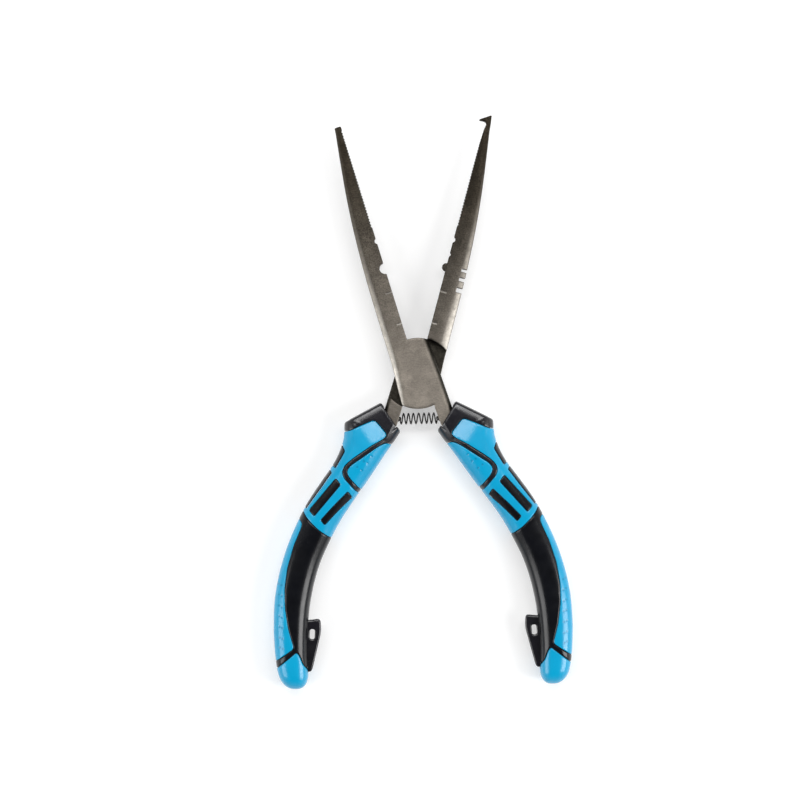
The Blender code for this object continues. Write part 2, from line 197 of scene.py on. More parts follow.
def skinned(field):
    """Surface nets: points in grid units and quads on the field's zero level."""
    inside = field < 0
    shape = np.array(field.shape) - 1
    total = np.zeros((*shape, 3), np.float32)
    count = np.zeros(shape, np.int8)
    corners = np.indices((2, 2, 2)).reshape(3, -1).T
    for axis in range(3):
        for near in corners[corners[:, axis] == 0]:
            far = near + np.eye(3, dtype=int)[axis]
            here = tuple(slice(k, k + n) for k, n in zip(near, shape))
            there = tuple(slice(k, k + n) for k, n in zip(far, shape))
            crossed = inside[here] != inside[there]
            start, end = field[here][crossed], field[there][crossed]
            point = np.tile(near.astype(np.float32), (len(start), 1))
            point[:, axis] += start / (start - end)
            total[crossed] += point
            count[crossed] += 1
    cells = np.argwhere(count > 0)
    chosen = tuple(cells.T)
    verts = cells + total[chosen] / count[chosen][:, None]
    index = np.full(shape, -1, np.int32)
    index[chosen] = np.arange(len(cells))
    quads = []
    for axis in range(3):
        u, v = (axis + 1) % 3, (axis + 2) % 3
        here = [slice(1, -1)] * 3
        here[axis] = slice(0, -1)
        there = list(here)
        there[axis] = slice(1, None)
        start, end = inside[tuple(here)], inside[tuple(there)]
        found = np.argwhere(start != end)
        found[:, [u, v]] += 1
        ring = []
        for du, dv in ((0, 0), (1, 0), (1, 1), (0, 1)):
            cell = found.copy()
            cell[:, u] -= du
            cell[:, v] -= dv
            ring.append(index[tuple(cell.T)])
        ring = np.stack(ring, 1)
        away = ~start[start != end]
        ring[away] = ring[away][:, ::-1]
        quads.append(ring)
    return verts, np.concatenate(quads)


def surface(field, grid, pulls=2):
    """Points in millimetres and quads of the field's surface, pulled exactly onto it."""
    field = field.astype(np.float32)
    verts, quads = skinned(field)
    slopes = np.gradient(field)
    for _ in range(pulls):
        value = sample(field, verts)
        slope = np.stack([sample(s, verts) for s in slopes], 1)
        move = -slope * (value / np.maximum((slope**2).sum(1), 1e-6))[:, None]
        verts = verts + np.clip(move, -0.3, 0.3)
    return verts * grid.step + grid.low, quads


def mesh_object(name, verts, faces):
    """A smooth-shaded object from points in millimetres and faces of one size."""
    mesh = bpy.data.meshes.new(name)
    mesh.vertices.add(len(verts))
    mesh.vertices.foreach_set("co", (np.array(verts) * MM).astype(np.float32).ravel())
    mesh.loops.add(faces.size)
    mesh.loops.foreach_set("vertex_index", faces.astype(np.int32).ravel())
    mesh.polygons.add(len(faces))
    mesh.polygons.foreach_set("loop_start", np.arange(0, faces.size, faces.shape[1], dtype=np.int32))
    mesh.update(calc_edges=True)
    mesh.shade_smooth()
    obj = bpy.data.objects.new(name, mesh)
    bpy.context.scene.collection.objects.link(obj)
    return obj


def creased_object(name, verts, faces, crease):
    """A smooth-shaded object with sharp creases, from points in millimetres and faces of any size."""
    mesh = bpy.data.meshes.new(name)
    mesh.from_pydata([tuple(v) for v in np.array(verts) * MM], [], faces)
    mesh.shade_smooth()
    mesh.set_sharp_from_angle(angle=radians(crease))
    obj = bpy.data.objects.new(name, mesh)
    bpy.context.scene.collection.objects.link(obj)
    return obj


def mark(obj, name, values):
    """Stores a number per vertex for the material to read."""
    stored = obj.data.attributes.new(name, "FLOAT", "POINT")
    stored.data.foreach_set("value", np.clip(values, 0, 1).astype(np.float32))


def placed(obj, material, body, slot, *nodes):
    """Gives a piece its material and body, and hides the CAD nodes it stands for."""
    obj.data.materials.append(material)
    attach(obj, body)
    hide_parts(*nodes)
    return obj


# ---------------------------------------------------------------- materials


class Shader:
    """A Principled material and short ways to add nodes to it."""

    def __init__(self, name, colour, roughness, metallic=0.0):
        self.material = bpy.data.materials.new(name)
        self.material.use_nodes = True
        self.tree = self.material.node_tree
        self.surface = self.tree.nodes["Principled BSDF"]
        self.surface.inputs["Base Color"].default_value = (*colour, 1)
        self.surface.inputs["Roughness"].default_value = roughness
        self.surface.inputs["Metallic"].default_value = metallic
        self.place = self.tree.nodes.new("ShaderNodeTexCoord").outputs["Object"]

    def node(self, kind, inputs=(), **settings):
        node = self.tree.nodes.new(kind)
        for key, value in settings.items():
            setattr(node, key, value)
        for key, value in dict(inputs).items():
            self.feed(node.inputs[key], value)
        return node

    def feed(self, socket, value):
        if isinstance(value, bpy.types.NodeSocket):
            self.tree.links.new(value, socket)
        else:
            socket.default_value = value

    def stretched(self, scale, turn=0.0):
        """Object coordinates in millimetres, scaled unequally."""
        inputs = {"Vector": self.place, "Scale": [s / MM for s in scale], "Rotation": (0, 0, turn)}
        return self.node("ShaderNodeMapping", inputs).outputs["Vector"]

    def noise(self, size, detail=3.0, rough=0.6, place=None, distort=0.0):
        """Noise from 0 to 1 whose features are about `size` millimetres."""
        inputs = {"Vector": place or self.place, "Scale": 1 / (size * MM) if place is None else 1 / size}
        inputs |= {"Detail": detail, "Roughness": rough, "Distortion": distort}
        return self.node("ShaderNodeTexNoise", inputs).outputs["Fac"]

    def spread(self, value, low, high, to_low=0.0, to_high=1.0, smooth=True):
        kind = "SMOOTHSTEP" if smooth else "LINEAR"
        inputs = {"Value": value, "From Min": low, "From Max": high, "To Min": to_low, "To Max": to_high}
        return self.node("ShaderNodeMapRange", inputs, interpolation_type=kind).outputs["Result"]

    def maths(self, kind, a, b=0.0):
        return self.node("ShaderNodeMath", {0: a, 1: b}, operation=kind).outputs[0]

    def mix(self, amount, a, b, kind="MIX"):
        node = self.node("ShaderNodeMix", (), data_type="RGBA", blend_type=kind)
        for socket, value in ((0, amount), (6, a), (7, b)):
            self.feed(node.inputs[socket], value)
        return node.outputs[2]

    def attribute(self, name):
        return self.node("ShaderNodeAttribute", (), attribute_name=name).outputs["Fac"]

    def axis(self, name):
        return self.node("ShaderNodeSeparateXYZ", {0: self.place}).outputs[name]

    def bump(self, height, depth, before=None):
        """Relief of `depth` millimetres, on top of another one."""
        inputs = {"Height": height, "Distance": depth * MM, "Strength": 1.0}
        if before is not None:
            inputs["Normal"] = before
        return self.node("ShaderNodeBump", inputs).outputs["Normal"]

    def set(self, **values):
        for key, value in values.items():
            self.feed(self.surface.inputs[key.replace("_", " ")], value)
        return self.material


def steel_material():
    s = Shader("forged_steel", (0.5, 0.46, 0.4), 0.45, 1.0)
    root = s.maths("POWER", s.spread(s.axis("Y"), 0.1, 0.0, smooth=False), 2.25)
    face = s.mix(root, (0.027, 0.022, 0.016, 1), (0.245, 0.218, 0.186, 1))
    # Painted shade: the rear jaw's face is darkened towards its inner edge
    face = s.mix(1.0, face, s.spread(s.attribute("painted_shade"), 0, 1, 0.62, 1.0), "MULTIPLY")
    across = s.stretched((0.22, 1.6, 1), -HALF_OPEN)
    brushed = s.spread(s.noise(0.45, 4, 0.65, across), 0.25, 0.75, 0.84, 1.16)
    blotch = s.spread(s.noise(7.0, 4, 0.55), 0.3, 0.7, 0.86, 1.14)
    grain = s.spread(s.noise(0.5, 3, 0.7), 0.3, 0.7, 0.55, 1.45)
    grain = s.mix(s.spread(root, 0, 1, 1.0, 0.3), (1, 1, 1, 1), grain)
    face = s.mix(1.0, face, s.maths("MULTIPLY", blotch, brushed), "MULTIPLY")
    face = s.mix(1.0, face, grain, "MULTIPLY")
    # Bright colour for the front jaw's flat bevel from grinding, and painted highlight on the rear jaw's
    # rolled edge and in the scribe grooves
    ground_and_painted_highlight = s.mix(root, (0.085, 0.075, 0.062, 1), (0.45, 0.425, 0.385, 1))
    ground_and_painted_highlight = s.mix(1.0, ground_and_painted_highlight, brushed, "MULTIPLY")
    face = s.mix(s.spread(s.attribute("ground_and_painted_highlight"), 0.0, 1.0), face, ground_and_painted_highlight)
    # Dark scaly colour where the scale mark is set: painted shade in the lap recess and on the rolled edge
    # of plate and tang, and darker teeth
    scaly = s.spread(s.noise(1.1, 4, 0.6), 0.3, 0.7)
    oxide_and_painted_shade = s.mix(scaly, (0.022, 0.020, 0.016, 1), (0.045, 0.041, 0.033, 1))
    face = s.mix(s.spread(s.attribute("scale"), 0.05, 1.0), face, oxide_and_painted_shade)
    pits = s.bump(s.noise(0.4, 4, 0.7), 0.03)
    relief = s.bump(s.noise(0.3, 3, 0.6, across), 0.02, pits)
    rough = s.spread(s.noise(2.5, 4, 0.6), 0.3, 0.7, 0.4, 0.54)
    return s.set(Base_Color=face, Roughness=rough, Normal=relief)


def wire_material():
    s = Shader("oiled_spring_wire", (0.02, 0.019, 0.018), 0.3, 1.0)
    drawn = s.noise(0.12, 3, 0.6, s.stretched((0.1, 1, 1)))
    tone = s.spread(s.noise(0.8, 3), 0.3, 0.7, 0.6, 1.5)
    base = s.mix(1.0, (0.030, 0.028, 0.026, 1), tone, "MULTIPLY")
    return s.set(Base_Color=base, Normal=s.bump(drawn, 0.008))


def plain_steel_material():
    s = Shader("turned_pin_steel", (0.08, 0.075, 0.07), 0.34, 1.0)
    tone = s.spread(s.noise(1.2, 4), 0.3, 0.7, 0.75, 1.2)
    base = s.mix(1.0, (0.08, 0.075, 0.07, 1), tone, "MULTIPLY")
    return s.set(Base_Color=base, Normal=s.bump(s.noise(0.15, 2), 0.006))


def hard_black_material():
    s = Shader("hard_black_moulding", (0.02, 0.019, 0.027), 0.36)
    tone = s.spread(s.noise(9.0, 3), 0.3, 0.7, 0.85, 1.2)
    base = s.mix(1.0, (0.0062, 0.0060, 0.0088, 1), tone, "MULTIPLY")
    fine = s.bump(s.noise(0.28, 3, 0.7), 0.005)
    rough = s.spread(s.noise(4.0, 4), 0.3, 0.7, 0.22, 0.28)
    return s.set(Base_Color=base, Roughness=rough, Normal=fine, Specular_IOR_Level=0.6)


def soft_black_material():
    s = Shader("soft_black_moulding", (0.011, 0.012, 0.016), 0.5)
    tone = s.spread(s.noise(11.0, 4), 0.3, 0.7, 0.8, 1.25)
    base = s.mix(1.0, (0.0028, 0.0032, 0.0048, 1), tone, "MULTIPLY")
    dust = s.spread(s.noise(0.7, 2, 0.5), 0.73, 0.80)
    base = s.mix(s.maths("MULTIPLY", dust, 0.35), base, (0.06, 0.062, 0.07, 1))
    fine = s.bump(s.noise(0.22, 3, 0.75), 0.005)
    rough = s.spread(s.noise(5.0, 4), 0.3, 0.7, 0.2, 0.26)
    return s.set(Base_Color=base, Roughness=rough, Normal=fine, Specular_IOR_Level=0.38)


def blue_material():
    s = Shader("blue_soft_moulding", (0.012, 0.40, 0.68), 0.45)
    tone = s.spread(s.noise(14.0, 3), 0.3, 0.7)
    base = s.mix(tone, (0.001, 0.288, 0.512, 1), (0.002, 0.316, 0.55, 1))
    speck = s.spread(s.noise(0.5, 3, 0.65), 0.35, 0.7)
    base = s.mix(s.maths("MULTIPLY", speck, 0.2), base, (0.002, 0.35, 0.6, 1))
    # Painted shade: the dimples are coloured darker
    base = s.mix(s.maths("MULTIPLY", s.attribute("pit"), 0.6), base, (0.001, 0.15, 0.3, 1))
    fine = s.bump(s.noise(0.25, 3, 0.7), 0.005)
    rough = s.spread(s.noise(5.0, 4), 0.3, 0.7, 0.2, 0.26)
    return s.set(Base_Color=base, Roughness=rough, Normal=fine)


def floor_material():
    s = Shader("pale_floor", (0.6, 0.6, 0.6), 0.8)
    tone = s.spread(s.noise(60.0, 3), 0.3, 0.7)
    base = s.mix(tone, (0.595, 0.595, 0.595, 1), (0.61, 0.61, 0.61, 1))
    s.set(Emission_Color=(1.0, 1.0, 1.0, 1), Emission_Strength=0.42)
    return s.set(Base_Color=base, Normal=s.bump(s.noise(0.9, 3), 0.01))


# ---------------------------------------------------------------- levers

# Drawn along the jaw from the pivot (x of the grid) and out from its inner edge (y of the grid)
OUTER_EDGE = [
    (8, 9.3), (22, 9.3), (38, 9.2), (52, 8.8), (66, 8.0), (80, 6.7), (94, 4.9), (106, 3.2),
]
TEETH_FROM, TEETH_TO = 64.0, 107.0
TOOTH_PITCH, TOOTH_DEPTH = 1.26, 0.6
CUTTER_FROM, CUTTER_TO = 22.3, 35.4
CUTTER_WIDTH = 2.8
CUTTER_LAND = 0.5
PUNCH_AT, PUNCH_OUT = 46.1, 0.1
PUNCH_R, PUNCH_HALF = 1.7, 2.4
PUNCH_NOTCH_R = 2.3
SLOTS = [(38.0, 1.95), (42.6, 1.5), (46.5, 1.25)]  # distance from the pivot, width
SLOT_FLOOR = 6.7
SCRIBES = [(22.0, 2.1), (35.7, 2.8)]  # distance from the pivot, length
SCRIBE_R = 0.3
RIM_ALONG = [-16, -4, 12, 30, 60, 90, 108]
GROUND_WIDTH = [0.9, 1.7, 2.2, 2.2, 1.7, 1.1, 0.8]  # the front jaw's flat band, at RIM_ALONG
ROLLED_WIDTH = [2.0, 4.0, 5.8, 5.4, 4.0, 2.2, 1.2]  # the rear jaw's rounded edge, at RIM_ALONG
GROUND_SLOPE = 0.42  # depth of the band's bevel for its width
JAW_ROLL, PLATE_ROLL = 0.29, 0.27  # how steeply the two rounded edges fall away
ROLL_REACH, ROLL_END = 2.3, 17  # width of the plate's and tang's rounded edge, and where it stops
SMALL_NOTCH = (58.0, -0.2, 1.2)  # distance along and out, radius
REAR_NOTCHES = [SMALL_NOTCH, (51.6, 0.0, 0.7)]
FRONT_NOTCHES = [SMALL_NOTCH, (PUNCH_AT, PUNCH_OUT, PUNCH_NOTCH_R)]
TANG_OUTER = [(9.5, -0.3), (12.2, -8.6), (14.2, -14.8), (15.6, -19.2)]
TANG_INNER = [(11.2, -23.6), (9.3, -21.6), (6.9, -14.4)]
INSERT = [
    (11.5, -19.0), (15.2, -19.0), (23.4, -31.0), (34.6, -47.0), (42.8, -60.5), (38.6, -62.5),
    (29.4, -48.6), (17.0, -31.0), (12.4, -24.0),
]


def to_jaw(points):
    """Points of the pliers' front view, given along and out from the jaw instead."""
    x, y = np.array(points, float).T
    lean, upright = sin(HALF_OPEN), cos(HALF_OPEN)
    return np.stack([y * upright - x * lean, -x * upright - y * lean], 1)


def from_jaw(verts):
    """The way back: points of the pliers' front view from points given along and out."""
    along, out, z = verts.T
    lean, upright = sin(HALF_OPEN), cos(HALF_OPEN)
    return np.stack([-along * lean - out * upright, along * upright - out * lean, z], 1)


def lever_outline(hooked):
    """Front view of one half in jaw coordinates, without its teeth and notches."""
    plate = to_jaw(arc((0, 0), PLATE_R, 106.6, 73.0, 16))
    bottom = to_jaw(arc((0, 0), PLATE_R, -63.5, -118.0, 24))
    outer = spline(OUTER_EDGE, 8)
    if hooked:
        tip = [(109.5, 2.9), (112.6, 2.5), (112.4, 1.9), (109.7, -2.2), (109.2, -2.1), (109.3, -0.9)]
        tip += [(109.3, 0.0), (109.15, 0.6), (108.7, 1.0), (108.0, 1.1), (106.0, 0.7), (100.0, 0.35)]
    else:
        tip = [(108.1, 3.05), (108.45, 2.95), (108.6, 2.6), (108.6, 0.5), (108.5, 0.25), (108.1, 0.15)]
    body = [plate, to_jaw(TANG_OUTER), to_jaw(TANG_INNER), bottom, to_jaw([(-9.75, -0.6)])]
    return np.concatenate(body + [outer, tip, [(92, EDGE_GAP), (17.0, EDGE_GAP)]])


def lever_rim(along, out, hooked):
    """Distance in from the outer edge of the jaw and plate, and how far in it is bevelled flat or rolled.
    """
    edge = [(116.0, 1.5), *OUTER_EDGE[::-1], *to_jaw([(-9.75, -0.6), (-7.0, -13.2), (-5.4, -20.5)])]
    inward = beside(-out, along, np.array([(-b, a) for a, b in edge]))
    return inward, np.interp(along, RIM_ALONG, ROLLED_WIDTH if hooked else GROUND_WIDTH)


def lever_roll(along, out):
    """How far a point lies inside the rolled-over edge of the plate and tang, opposite the rim."""
    edge = to_jaw([(3.2, 17.6), *TANG_OUTER, (18.5, -28.0)])
    inward = -beside(-out, along, np.stack([-edge[:, 1], edge[:, 0]], 1))
    return np.where(along < ROLL_END, np.maximum(ROLL_REACH - inward, 0), 0)


def jaw_edges(solid, g, top, hooked):
    """Grinds or rolls the outer edge, and rolls the edge of the plate and tang."""
    inward, width = lever_rim(g.x, g.y, hooked)
    if hooked:
        drop = JAW_ROLL / width * np.maximum(width - inward, 0) ** 2
        solid = smooth_max(solid, top + drop[:, :, None], 0.5)
    else:
        drop = width * GROUND_SLOPE
        rim = (-inward / width)[:, :, None] + top / drop[:, :, None] + 1
        rim = rim * (width * drop / np.hypot(width, drop))[:, :, None]
        solid = smooth_max(solid, rim, 0.5)
    rolled = top + (PLATE_ROLL * lever_roll(g.x, g.y) ** 2)[:, :, None]
    return smooth_max(solid, rolled, 0.4)


def jaw_cuts(solid, g, top, hooked):
    """Teeth, notches, cutter and marks of the inner edge. The rear jaw also has slots and a punch."""
    along, out = g.x, g.y
    phase = np.mod((along - TEETH_FROM) / TOOTH_PITCH, 1)
    tooth = TOOTH_DEPTH * (1 - np.abs(2 * phase - 1))
    toothed = (along > TEETH_FROM) & (along < TEETH_TO - 0.3)
    teeth = np.where(toothed, (EDGE_GAP + tooth - out) * 0.78, -9)
    solid = np.maximum(solid, teeth[:, :, None])
    for a, b, radius in REAR_NOTCHES if hooked else FRONT_NOTCHES:
        notch = radius - np.hypot(along - a, out - b)
        solid = smooth_max(solid, notch[:, :, None], 0.25)

    depth = g.z if hooked else THICK - g.z  # below the tool's front face
    slope = (THICK - CUTTER_LAND) / CUTTER_WIDTH
    bevel = (depth - CUTTER_LAND - slope * np.maximum(out, 0)[:, :, None]) / np.hypot(1, slope)
    reach = np.abs(along - (CUTTER_FROM + CUTTER_TO) / 2) - (CUTTER_TO - CUTTER_FROM) / 2
    solid = np.maximum(solid, np.minimum(bevel, -reach[:, :, None]))
    for a, length in SCRIBES:
        groove = SCRIBE_R - np.hypot(along - a, np.maximum(out - length, 0))
        solid = smooth_max(solid, np.minimum(groove[:, :, None], top + SCRIBE_R), 0.1)
    if hooked:
        for a, size in SLOTS:
            box = np.maximum(np.abs(along - a) - size / 2, SLOT_FLOOR - out)
            solid = smooth_max(solid, -box[:, :, None], 0.15)
        punch = np.hypot(along - PUNCH_AT, out - PUNCH_OUT) - PUNCH_R
        punch = smooth_max(punch[:, :, None], np.abs(g.z - MID) - PUNCH_HALF, 0.4)
        solid = smooth_min(solid, punch, 0.15)
    return solid


def joint_cuts(solid, g, hooked):
    """The lap that the other plate turns in, the rivet's bore and the hole of the spring peg."""
    along, out = g.x, g.y
    centre = np.hypot(along, out)
    lap = np.minimum(SHOULDER_R - centre[:, :, None], MID + EDGE_GAP - g.z)
    solid = smooth_max(solid, lap, 0.5)
    if hooked:
        bores = [(RIVET_HEAD_R + PLAY, THICK - RIVET_HEAD - GAP, THICK + 1.5)]
        bores += [(RIVET_R + PLAY, 2.0, THICK + 1.5)]
    else:
        bores = [(RIVET_R + PLAY, -2.0, RIVET_TOP + GAP)]
    for radius, low, high in bores:
        bore = np.minimum(radius - centre[:, :, None], np.minimum(g.z - low, high - g.z))
        solid = smooth_max(solid, bore, 0.15)
    x = -along * sin(HALF_OPEN) - out * cos(HALF_OPEN)
    y = along * cos(HALF_OPEN) - out * sin(HALF_OPEN)
    peg = PEG_R + PLAY - np.hypot((y - SPRING_Y)[:, :, None], g.z - MID)
    peg = np.minimum(peg, np.minimum(x - PEG_FROM + 1.4, PEG_TO + GAP - x)[:, :, None])
    return np.maximum(solid, peg)


def lever_marks(obj, verts, hooked):
    """Marks the steel: bright from grinding or with a painted highlight, dark with scale or painted
    shading, and painted shading of the rear jaw's face.
    """
    along, out, z = verts.T
    inward, width = lever_rim(along, out, hooked)
    if hooked:
        # Painted highlight: the rear jaw's rolled edge is brightened, less towards the tip
        ground_and_painted_highlight = np.clip((width - inward) / width, 0, 1) ** 1.5 * np.interp(along, [60, 95], [1, 0.2])
        # Painted shade: the rear jaw darkens inwards from its rolled edge; the front jaw gets none
        painted_shade = (width + 1.5 - inward) / width
    else:
        fade = np.interp(along, [-16, 0, 30, 70], [0.5, 0.85, 0.85, 0.5])
        ground_and_painted_highlight = np.clip((width + 0.3 - inward) / 0.7, 0, 1) * fade
        painted_shade = np.ones_like(along)
    # Painted highlight: the scribe grooves are coloured bright
    for a, length in SCRIBES:
        ground_and_painted_highlight = np.maximum(ground_and_painted_highlight, 1.6 - np.hypot(along - a, np.maximum(out - length, 0)) / SCRIBE_R)
    # Painted shade: the scale mark darkens the rolled edge of plate and tang, and also the teeth
    scale = lever_roll(along, out) / 1.7
    teeth = (TEETH_FROM - 1 < along) & (along < TEETH_TO) & (out < 0.75)
    scale = np.where(teeth, np.maximum(scale, 0.75 - out * 0.3), scale)
    # Painted shade: the lap recess gets the dark scale colour all over
    in_lap = (np.hypot(along, out) < SHOULDER_R + 0.1) & (z < MID + 0.4)
    mark(obj, "ground_and_painted_highlight", ground_and_painted_highlight)
    mark(obj, "scale", np.where(in_lap, 1, scale))
    mark(obj, "painted_shade", painted_shade)


def lever(hooked, step=0.22):
    """One forged half: jaw, lap plate and tang. The rear half has the hook and the punch."""
    g = Grid((-71.5, -26.5, -0.8), (113.6, 15.6, 10.8), step)
    height = np.abs(g.z - MID)
    plan = zone(g.x, g.y, lever_outline(hooked))
    taper = np.clip((g.x - TAPER_FROM) / (JAW_LENGTH - TAPER_FROM), 0, 1)
    half = MID - (THICK - TIP_THICK) / 2 * taper
    top = height - half[:, :, None]
    solid = smooth_max(plan[:, :, None], top, 0.5)
    solid = jaw_edges(solid, g, top, hooked)
    solid = jaw_cuts(solid, g, top, hooked)
    insert = zone(g.x, g.y, to_jaw(INSERT))
    solid = np.minimum(solid, smooth_max(insert[:, :, None], height - INSERT_HALF, 0.5))
    solid = joint_cuts(solid, g, hooked)

    verts, quads = surface(solid, g)
    points = from_jaw(verts)
    if hooked:  # turned over, front face down
        points = points * (-1, 1, -1) + (0, 0, THICK)
    obj = mesh_object("forged_lever_rear" if hooked else "forged_lever_front", points, quads)
    lever_marks(obj, verts, hooked)
    return obj


# ---------------------------------------------------------------- grips, drawn on the +X side

GRIP_OUTER = spline([
    (30.7, -8.0), (31.1, -16.0), (31.45, -21.0), (31.5, -24.6), (32.05, -27.9), (33.95, -33.0),
    (36.75, -38.0), (41.6, -44.7), (47.4, -53.1), (51.95, -61.5), (55.75, -69.95), (58.7, -78.3),
    (60.9, -86.75), (62.25, -95.1), (62.8, -105.2), (62.65, -111.9), (62.2, -118.7), (61.3, -124.5),
    (59.3, -131.0), (57.3, -137.0),
], 4)
GRIP_INNER = spline([
    (-4.0, -8.0), (1.5, -16.0), (5.4, -21.0), (7.9, -24.5), (10.2, -27.9), (13.97, -32.95), (17.45, -38.0),
    (22.1, -44.7), (28.25, -53.1), (34.0, -61.5), (38.6, -69.95), (42.5, -78.3), (45.25, -86.75),
    (47.1, -95.1), (47.9, -101.0), (48.3, -106.0), (48.6, -112.0), (48.7, -118.0), (48.6, -124.0),
    (48.9, -131.0), (49.4, -137.0),
], 4)
GRIP_THICKNESS = [
    (-137, 0.92), (-119, 0.93), (-111, 0.95), (-92, 0.92), (-64, 0.95), (-48, 1.0), (-10, 1.0),
]
GRIP_SQUARENESS = 2.6
END_Y, END_REACH = -131.4, 6.5
COLLAR_TOP = ((30.6, -19.45), (17.4, -12.65))
COLLAR_MOUTH = ((14.3, -13.9), (7.85, -23.9))
COLLAR_FOOT = ((12.9, -28.6), (25.0, -21.6))
CREASE = ((26.4, -22.6), (19.2, -28.6))
CROWN_REACH = 3.4  # the body's facet rises no further than this from the crease
BODY_FACET = (0.3, 0.2)  # drop at the crease, and slope
SLEEVE_FACET = (0.35, 0.235)
COLLAR_HALF = 5.85  # half the thickness at the collar's top edge
STRIP_WIDTH, STRIP_SLOPE = 3.2, 0.22  # the tilted strip along that edge
FACE_SLOPE = 0.08  # the collar's face beyond the strip
BAND_SUNK, COLLAR_SUNK = 0.04, 0.14  # how far the black core lies below the skins round it
BED_SEAM = 0.12  # the core's skin stops this far outside the beds of the mouldings
BELOW, ABOVE = -3.2, 13.2  # heights between which a grip is sampled
DIMPLE_R, DIMPLE_DEPTH = 0.42, 0.06

SLEEVE = rounded([
    (36.0, -23.8), (31.0, -23.8), (28.2, -23.2), (25.6, -21.9), (18.4, -18.9), (13.2, -25.4),
    (14.6, -27.0), (20.0, -29.8), (27.6, -34.8), (31.2, -37.6), (32.7, -40.4), (31.9, -43.2),
    (26.6, -49.2), (22.0, -50.5), (32.0, -69.5), (38.2, -68.0), (42.6, -64.9), (46.2, -61.3),
    (48.3, -58.6), (49.2, -56.6), (53.0, -53.0), (40.0, -34.0),
], 1.6)
FINGER_PANEL = rounded([
    (8.0, -31.0), (12.4, -29.2), (14.4, -28.9), (17.4, -30.4), (25.2, -35.6), (29.0, -38.0),
    (30.7, -40.4), (29.6, -43.0), (25.0, -48.2), (20.0, -50.0),
], 1.8)
BACK_STRIP = rounded([
    (54.5, -58.5), (50.8, -60.0), (49.7, -61.6), (50.1, -63.6), (53.4, -71.0), (56.2, -80.0),
    (57.6, -89.0), (57.6, -97.0), (56.4, -106.0), (54.2, -114.0), (61.9, -119.3),
    (66.0, -119.5), (66.0, -96.0), (61.0, -72.0),
], 1.3)
END_CAP = rounded([
    (66.0, -124.8), (61.2, -122.0), (54.6, -116.8), (53.2, -115.6), (52.0, -117.2), (50.6, -121.0),
    (47.6, -124.6), (44.0, -127.0), (50.0, -136.0), (64.0, -136.0),
], 1.3)
PANEL = [
    (58.0, -53.4), (52.0, -54.0), (46.0, -58.0), (38.0, -63.0), (30.0, -65.0),
    (40.0, -100.0), (42.0, -122.0), (50.0, -122.0), (56.0, -123.0), (70.0, -121.0), (66.0, -80.0),
]
RIBS = {
    "upper": rounded([(35.2, -43.1), (33.2, -45.9), (44.6, -58.9), (46.7, -56.3)], 0.8),
    "lower": rounded([
        (30.3, -48.7), (28.6, -51.2), (35.2, -57.4), (40.3, -62.7), (42.0, -60.5), (36.8, -55.0),
    ], 0.7),
}
EDGE_INLAYS = {
    "upper": rounded([
        (32.7, -28.4), (31.2, -32.0), (33.0, -35.2), (35.2, -38.9), (36.8, -37.6), (40.0, -34.0),
    ], 0.5),
    "lower": rounded([
        (37.8, -39.3), (36.9, -40.9), (42.5, -48.5), (47.9, -55.6), (51.0, -53.0), (43.0, -37.0),
    ], 0.4),
}
LUG = rounded([
    (52.0, -102.2), (47.9, -102.5), (46.4, -102.4), (43.0, -101.9), (42.8, -107.5), (46.9, -123.6),
    (48.0, -124.4), (52.0, -124.0),
], 1.9)
LUG_SLOT = rounded([(45.4, -106.4), (47.5, -106.3), (47.8, -110.5), (45.7, -110.7)], 0.95)
FINGER_DIMPLES = [(20.1, -34.3), (23.4, -36.2), (21.8, -37.1), (26.2, -38.6), (24.3, -40.0)]
STRIP_DIMPLES = [(58.9 + dx, y + dy) for y in (-87.4, -91.8, -96.4, -100.8, -105.2, -109.8, -114.0)
                 for dx, dy in ((0.0, 0.0), (1.2, 0.6))]


def grip_body(g):
    """Distance to the whole grip, from its collar to its end."""
    outer, inner = -beside(g.x, g.y, GRIP_OUTER), beside(g.x, g.y, GRIP_INNER)
    across = np.abs(outer - inner) / np.maximum(outer + inner, 1)
    end = np.maximum(1 - (g.y - END_Y) / END_REACH, 0)
    plan = across**GRIP_SQUARENESS + end**GRIP_SQUARENESS
    heights, factors = np.array(GRIP_THICKNESS, float).T
    half = GRIP_HALF * np.interp(g.y, heights, factors)
    height = np.abs(g.z - MID)
    tube = plan[:, :, None] + (height / half[:, :, None]) ** GRIP_SQUARENESS
    tube = as_distance((tube ** (1 / GRIP_SQUARENESS) - 1) * GRIP_HALF, g.step)
    crown = np.minimum(-left_of(g.x, g.y, *CREASE), CROWN_REACH)
    drop, slope = BODY_FACET
    facet = height - (GRIP_HALF - drop - slope * crown)[:, :, None]
    tube = smooth_max(tube, facet, 0.25)
    below = left_of(g.x, g.y, *COLLAR_TOP)
    collar = COLLAR_HALF + STRIP_SLOPE * np.clip(below, 0, STRIP_WIDTH)
    collar = collar + FACE_SLOPE * np.maximum(below - STRIP_WIDTH, 0)
    tube = smooth_max(tube, height - collar[:, :, None], 0.35)
    # Both ends of the collar bow inwards towards the front and back faces
    top = -below[:, :, None] + 1.7 * (height / GRIP_HALF) ** 5
    mouth = -left_of(g.x, g.y, *COLLAR_MOUTH)[:, :, None] + 1.0 * (height / GRIP_HALF) ** 6
    body = smooth_max(tube, as_distance(top, g.step, 0.5), 0.65)
    return smooth_max(body, as_distance(mouth, g.step, 0.5), 0.8)


def faceted(solid, g):
    """Cuts the flat facet next to the collar."""
    crown = np.maximum(-left_of(g.x, g.y, *CREASE), -2)
    drop, slope = SLEEVE_FACET
    return smooth_max(solid, np.abs(g.z - MID) - (GRIP_HALF - drop - slope * crown)[:, :, None], 0.25)


